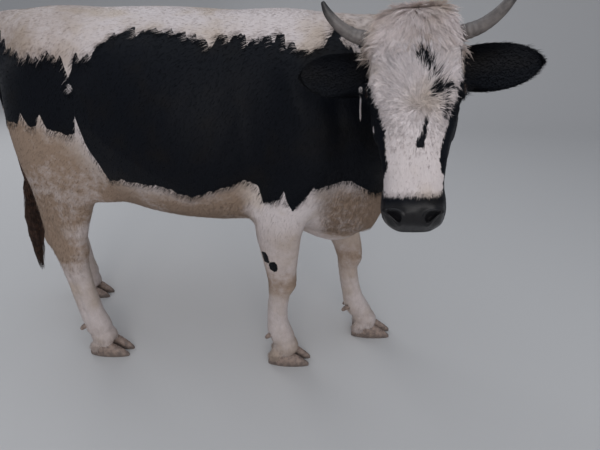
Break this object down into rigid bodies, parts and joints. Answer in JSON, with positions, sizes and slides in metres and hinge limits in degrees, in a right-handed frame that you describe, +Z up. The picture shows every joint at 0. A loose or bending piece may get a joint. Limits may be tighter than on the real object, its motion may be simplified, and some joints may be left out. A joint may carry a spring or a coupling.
{
  "type": "cow",
  "caption": "Horned black-and-white dairy cow standing square on its hooves, head lowered and turned to its right, as a still life-size model.",
  "frame": {"origin": "on the floor, under the middle of the box round the whole cow", "axes": "+X forward along the trunk from rump to brisket, +Y to the cow's own left, +Z up"},
  "size_m": [1.867, 0.9192, 1.4079],
  "materials": {
    "white_coat": "short flat white hair, tan with dust on the belly and legs",
    "black_coat": "short flat black hair with a slight blue sheen, patched with white",
    "horn": "grey horn, faintly ringed, darker at the tips",
    "hoof": "dull grey-brown horn, dusty and ribbed across",
    "eye": "wet, nearly black",
    "bare_skin": "bare pinkish skin with thin hair",
    "switch_hair": "long dark brown hair in loose locks"
  },
  "bodies": {
    "root": {"claw_front_left_inner": "hoof", "claw_front_left_outer": "hoof", "claw_front_right_inner": "hoof", "claw_front_right_outer": "hoof", "claw_hind_left_inner": "hoof", "claw_hind_left_outer": "hoof", "claw_hind_right_inner": "hoof", "claw_hind_right_outer": "hoof", "dewclaw_front_left_inner": "hoof", "dewclaw_front_left_outer": "hoof", "dewclaw_front_right_inner": "hoof", "dewclaw_front_right_outer": "hoof", "dewclaw_hind_left_inner": "hoof", "dewclaw_hind_left_outer": "hoof", "dewclaw_hind_right_inner": "hoof", "dewclaw_hind_right_outer": "hoof", "ear_left": "black_coat", "ear_right": "black_coat", "eye_left": "eye", "eye_right": "eye", "forearm_left": "white_coat", "forearm_right": "white_coat", "foreleg_left": "white_coat", "foreleg_right": "white_coat", "head": "black_coat", "hindleg_left": "white_coat", "hindleg_right": "white_coat", "horn_left": "horn", "horn_right": "horn", "neck": "black_coat", "tail": "white_coat", "tail_switch": "switch_hair", "thigh_left": "white_coat", "thigh_right": "white_coat", "trunk": "black_coat", "udder": "bare_skin"}
  },
  "joints": []
}
